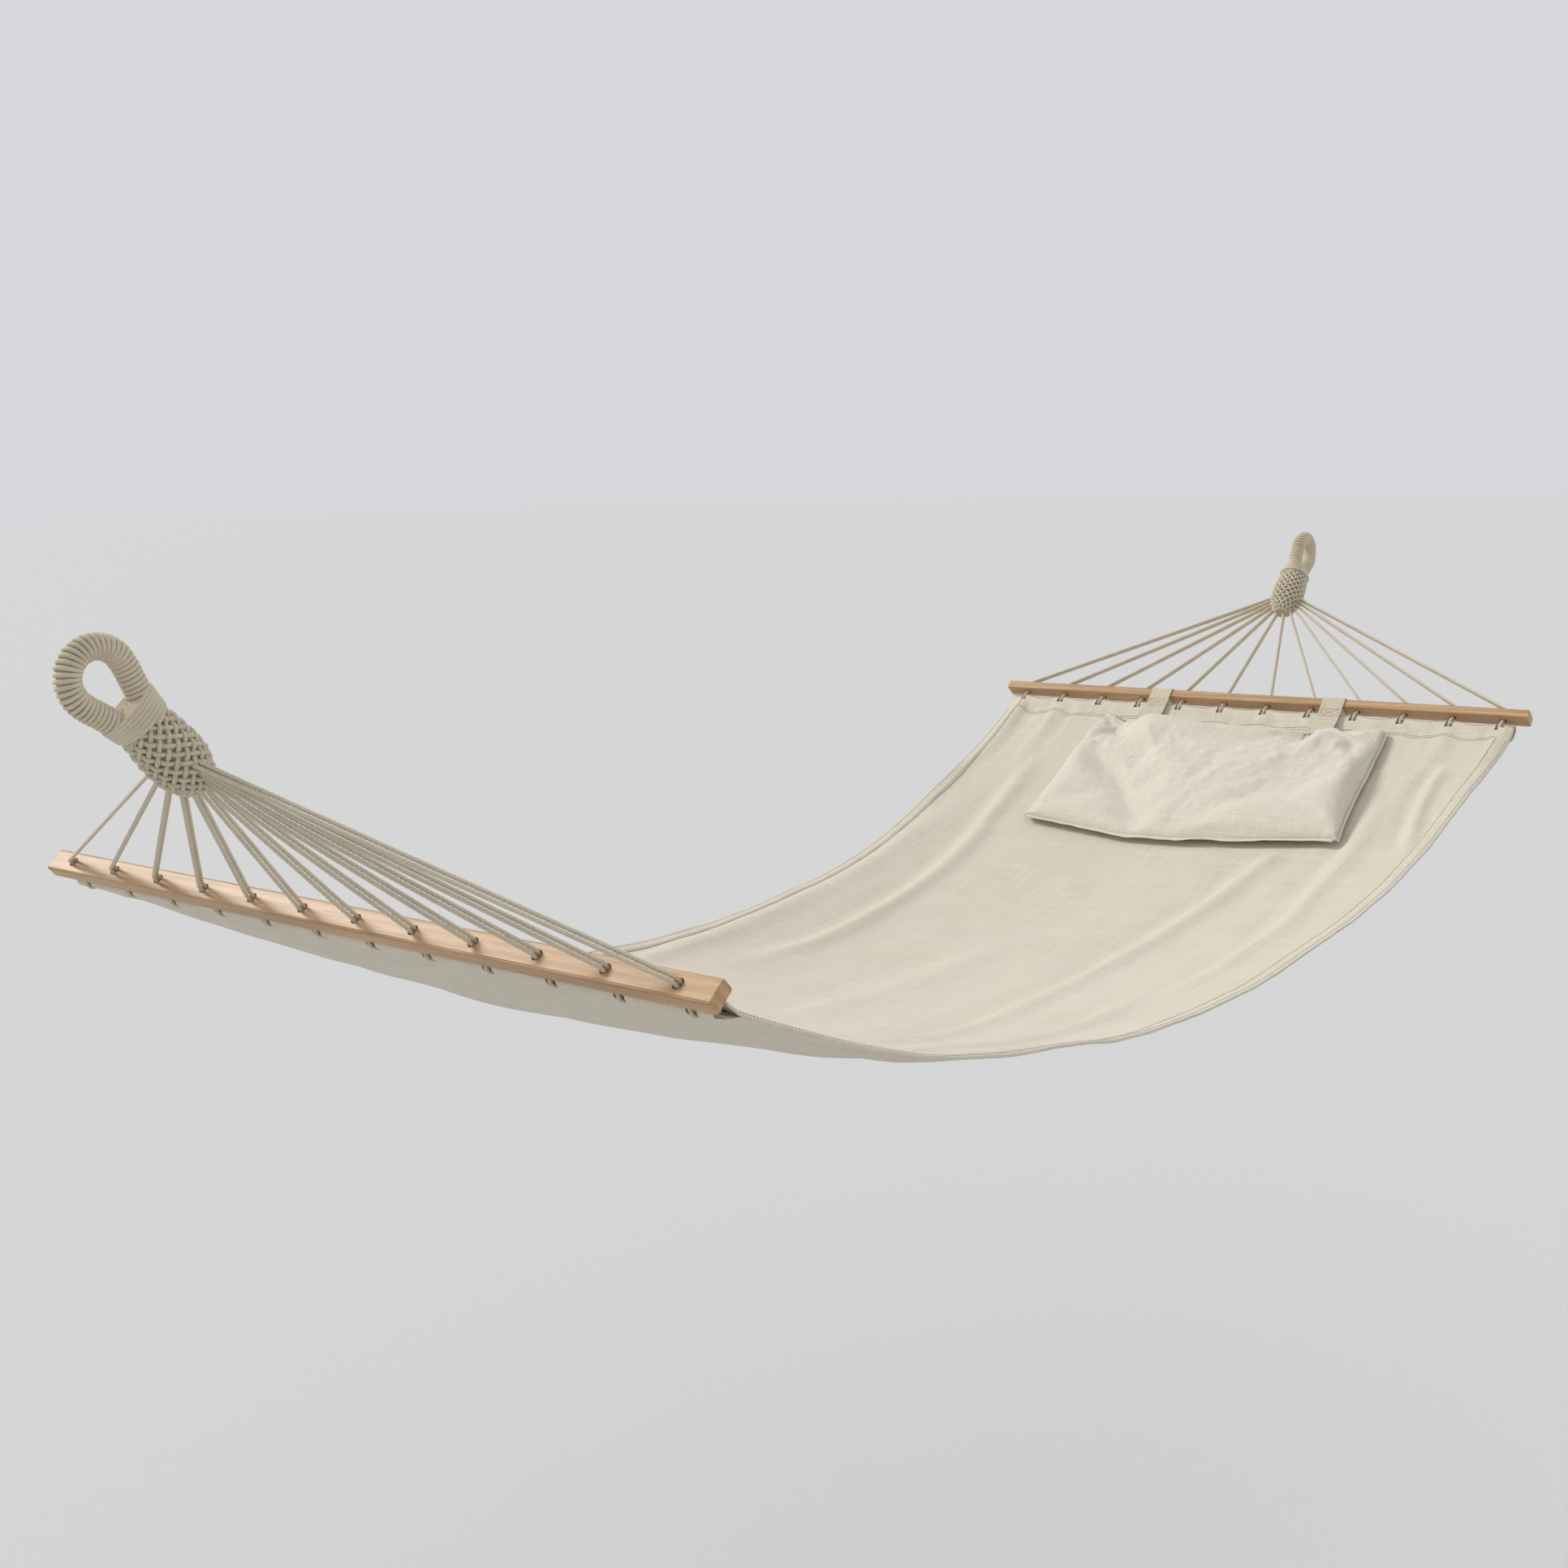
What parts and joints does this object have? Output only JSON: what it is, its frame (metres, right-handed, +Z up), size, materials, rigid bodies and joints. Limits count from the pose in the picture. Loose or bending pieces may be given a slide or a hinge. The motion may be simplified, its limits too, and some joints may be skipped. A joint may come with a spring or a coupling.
{
  "type": "hammock",
  "caption": "Canvas bed hammock with drilled wooden spreader bars, fans of doubled cords, plaited knots, whipped rope eyes and a strapped pillow.",
  "frame": {"origin": "the point where the head hook bears, on the inner end of the head eye's loop", "axes": "+X from the foot hook to the head hook, +Y to the left of someone looking from foot to head, +Z up"},
  "size_m": [2.4834, 0.96, 0.5915],
  "materials": {
    "wood": "oiled pale hardwood, fine grain",
    "canvas": "plain-weave natural cotton canvas",
    "pillow_cloth": "plain-weave natural cotton canvas",
    "webbing": "herringbone cotton webbing",
    "cord": "laid cotton cord",
    "whipping": "tightly wound cotton cord",
    "rope_core": "laid cotton rope",
    "filling": "polyester wadding"
  },
  "bodies": {
    "head_eye": {"head_eye_whipping": "whipping", "head_eye_rope": "rope_core"},
    "bed": {"canvas_bed": "canvas", "head_spreader_bar": "wood", "head_knot_cover": "cord", "head_knot_core": "rope_core", "head_hem_rope": "rope_core", "head_cord_01": "cord", "head_cord_02": "cord", "head_cord_03": "cord", "head_cord_04": "cord", "head_cord_05": "cord", "head_cord_06": "cord", "head_cord_07": "cord", "head_cord_08": "cord", "head_cord_09": "cord", "head_cord_10": "cord", "head_cord_11": "cord", "head_cord_12": "cord", "foot_spreader_bar": "wood", "foot_knot_cover": "cord", "foot_knot_core": "rope_core", "foot_hem_rope": "rope_core", "foot_cord_01": "cord", "foot_cord_02": "cord", "foot_cord_03": "cord", "foot_cord_04": "cord", "foot_cord_05": "cord", "foot_cord_06": "cord", "foot_cord_07": "cord", "foot_cord_08": "cord", "foot_cord_09": "cord", "foot_cord_10": "cord", "foot_cord_11": "cord", "foot_cord_12": "cord"},
    "foot_eye": {"foot_eye_whipping": "whipping", "foot_eye_rope": "rope_core"},
    "straps": {"strap_loop_left": "webbing", "strap_loop_right": "webbing"},
    "pillow": {"pillow_cover": "pillow_cloth", "pillow_filling": "filling", "strap_tab_left": "webbing", "strap_tab_right": "webbing"}
  },
  "joints": [
    {"name": "bed_swing", "type": "hinge", "parent": "head_eye", "child": "bed", "pos_m": [0, 0, 0], "axis": [1, 0, 0], "range_deg": [-25, 25]},
    {"name": "foot_eye_turn", "type": "hinge", "parent": "bed", "child": "foot_eye", "pos_m": [-2.42571, 0, 0], "axis": [1, 0, 0], "range_deg": [-25, 25]},
    {"name": "strap_slide", "type": "slide", "parent": "bed", "child": "straps", "axis": [0, 1, 0], "range_m": [-0.012, 0.012]},
    {"name": "pillow_flip", "type": "hinge", "parent": "straps", "child": "pillow", "pos_m": [-0.24985, 0, -0.25596], "axis": [0, 1, 0], "range_deg": [0, 110]}
  ],
  "couplings": [
    {"joint": "foot_eye_turn", "follows": "bed_swing", "ratio": -1}
  ]
}
